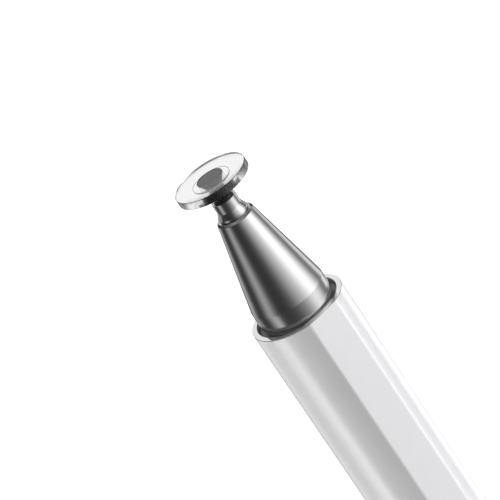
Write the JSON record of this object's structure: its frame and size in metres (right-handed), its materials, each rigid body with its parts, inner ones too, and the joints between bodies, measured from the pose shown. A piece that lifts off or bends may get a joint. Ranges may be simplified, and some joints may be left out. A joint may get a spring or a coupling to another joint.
{
  "type": "stylus pen",
  "caption": "Slim stylus pen for touch screens: white barrel with one flat side, brushed metal nose cone, and a clear disc nib that tilts and turns on a ball joint.",
  "frame": {"origin": "centre of the tail's flat end, on the pen's axis", "axes": "+Z along the pen's axis to the disc nib, -Y out of the barrel's flat side, +X to its right seen from the flat side"},
  "size_m": [0.009, 0.0087, 0.145],
  "materials": {
    "white_lacquer": "gloss white lacquer on aluminium, with the cut rim left bare",
    "white_plastic": "gloss white moulding",
    "turned_steel": "fine turned satin, brushed round the axis",
    "collar_steel": "polished turned steel",
    "clear_plastic": "clear polished polycarbonate",
    "black_plastic": "black conductive moulding",
    "conductive_pad": "dark conductive film",
    "brass": "turned brass",
    "spring_bronze": "stamped spring bronze",
    "spring_steel": "drawn spring wire",
    "nickel_plate": "nickel-plated magnet",
    "grey_plastic": "matt grey moulding",
    "foam": "soft closed-cell foam"
  },
  "bodies": {
    "pen": {"barrel": "white_lacquer", "tail_cap": "white_plastic", "nose_cone": "turned_steel", "nib_collar": "collar_steel", "front_plug": "black_plastic", "seat_spring": "spring_steel", "contact_washer": "spring_bronze", "lock_nut": "brass", "magnet_carrier": "grey_plastic", "magnets": "nickel_plate", "end_pad": "foam"},
    "seat": {"ball_seat": "brass"},
    "hub": {"swivel_hub": "black_plastic", "contact_pad": "conductive_pad"},
    "disc": {"tip_disc": "clear_plastic"}
  },
  "joints": [
    {"name": "tilt_direction", "type": "hinge", "parent": "pen", "child": "seat", "pos_m": [0, 0, 0.14232], "axis": [0, 0, 1], "continuous": true},
    {"name": "disc_tilt", "type": "hinge", "parent": "seat", "child": "hub", "pos_m": [0, 0, 0.14232], "axis": [1, 0, 0], "range_deg": [-40, 40]},
    {"name": "disc_spin", "type": "hinge", "parent": "hub", "child": "disc", "pos_m": [0, 0, 0.14424], "axis": [0, 0, 1], "continuous": true}
  ]
}
